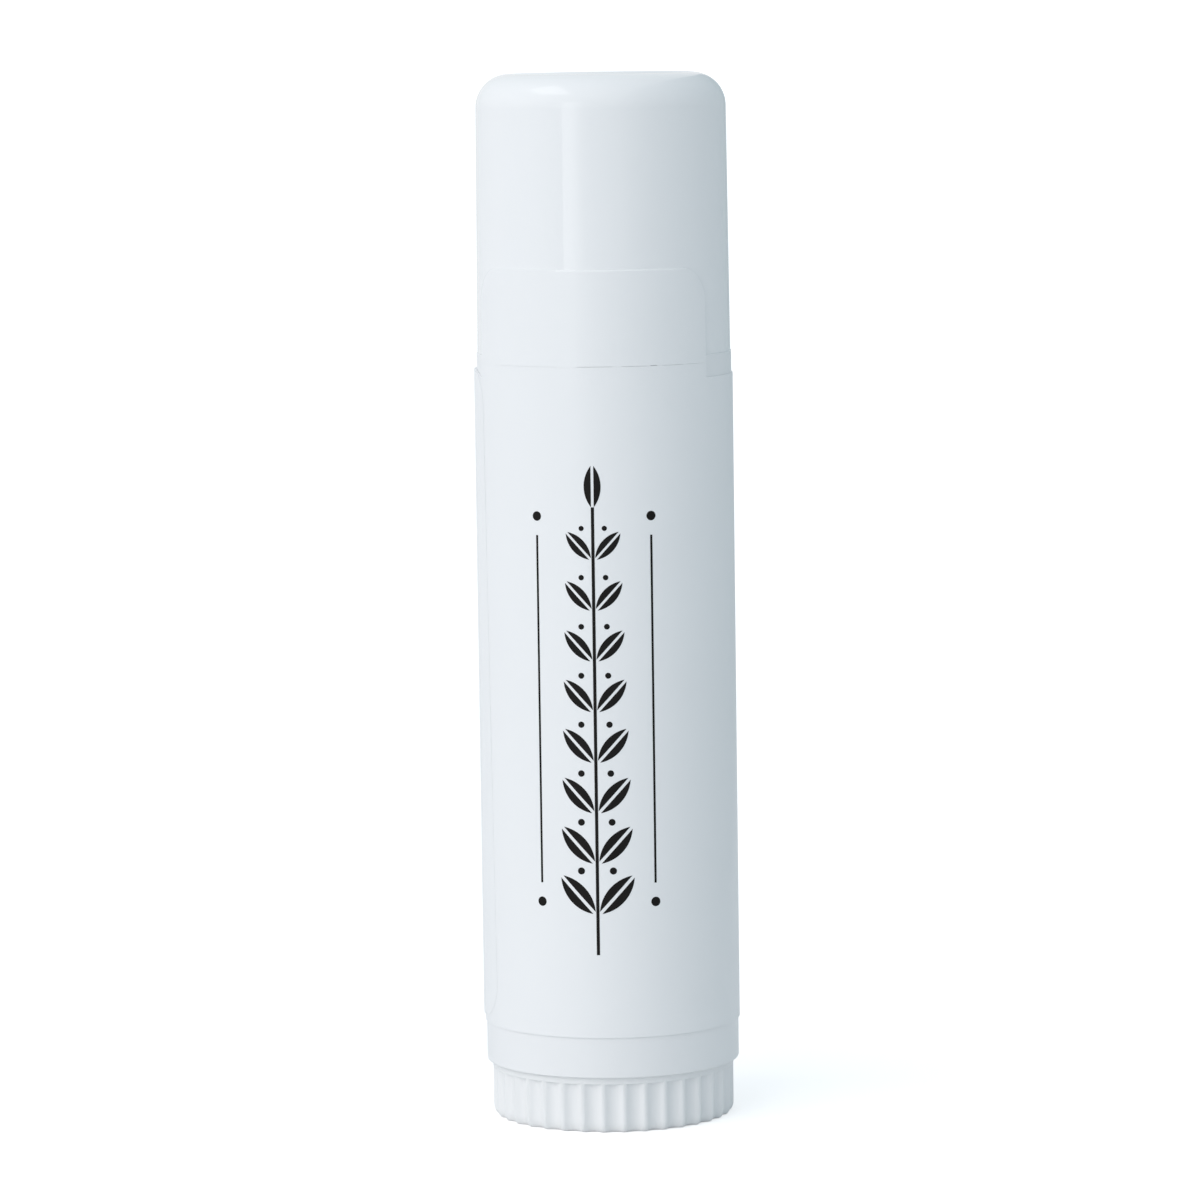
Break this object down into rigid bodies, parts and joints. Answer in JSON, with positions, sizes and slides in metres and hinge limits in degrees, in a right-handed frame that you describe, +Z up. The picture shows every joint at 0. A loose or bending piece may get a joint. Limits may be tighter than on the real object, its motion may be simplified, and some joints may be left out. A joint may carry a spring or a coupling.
{
  "type": "twist-up balm stick",
  "caption": "Twist-up moisturizer stick: slim round tube with pull-off cap, fluted turn wheel at its foot, wrap label with tear tab, and balm on a screw-driven carrier.",
  "frame": {"origin": "middle of the turn wheel's foot, on the surface the stick stands on", "axes": "+Z up along the tube to the cap; -Y is the front of the label, where the tear tab and the print are"},
  "size_m": [0.0165, 0.0164, 0.0667],
  "materials": {
    "white_moulding": "glossy white polypropylene",
    "carrier_moulding": "natural white polypropylene",
    "label_film": "satin white film with dark print",
    "balm_wax": "soft waxy cream"
  },
  "bodies": {
    "barrel": {"barrel": "white_moulding", "wrap_label": "label_film"},
    "wheel": {"turn_wheel": "white_moulding"},
    "carrier": {"carrier_cup": "carrier_moulding", "balm_stick": "balm_wax"},
    "cap": {"cap": "white_moulding", "tear_tab": "label_film"}
  },
  "joints": [
    {"name": "wheel_turn", "type": "hinge", "parent": "barrel", "child": "wheel", "pos_m": [0, 0, 0], "axis": [0, 0, 1], "range_deg": [0, 3960]},
    {"name": "carrier_rise", "type": "slide", "parent": "barrel", "child": "carrier", "axis": [0, 0, 1], "range_m": [0, 0.044]},
    {"name": "cap_pull", "type": "slide", "parent": "carrier", "child": "cap", "axis": [0, 0, 1], "range_m": [0, 0.022]}
  ],
  "couplings": [
    {"joint": "wheel_turn", "follows": "carrier_rise", "rad_per_m": 1570.8}
  ]
}
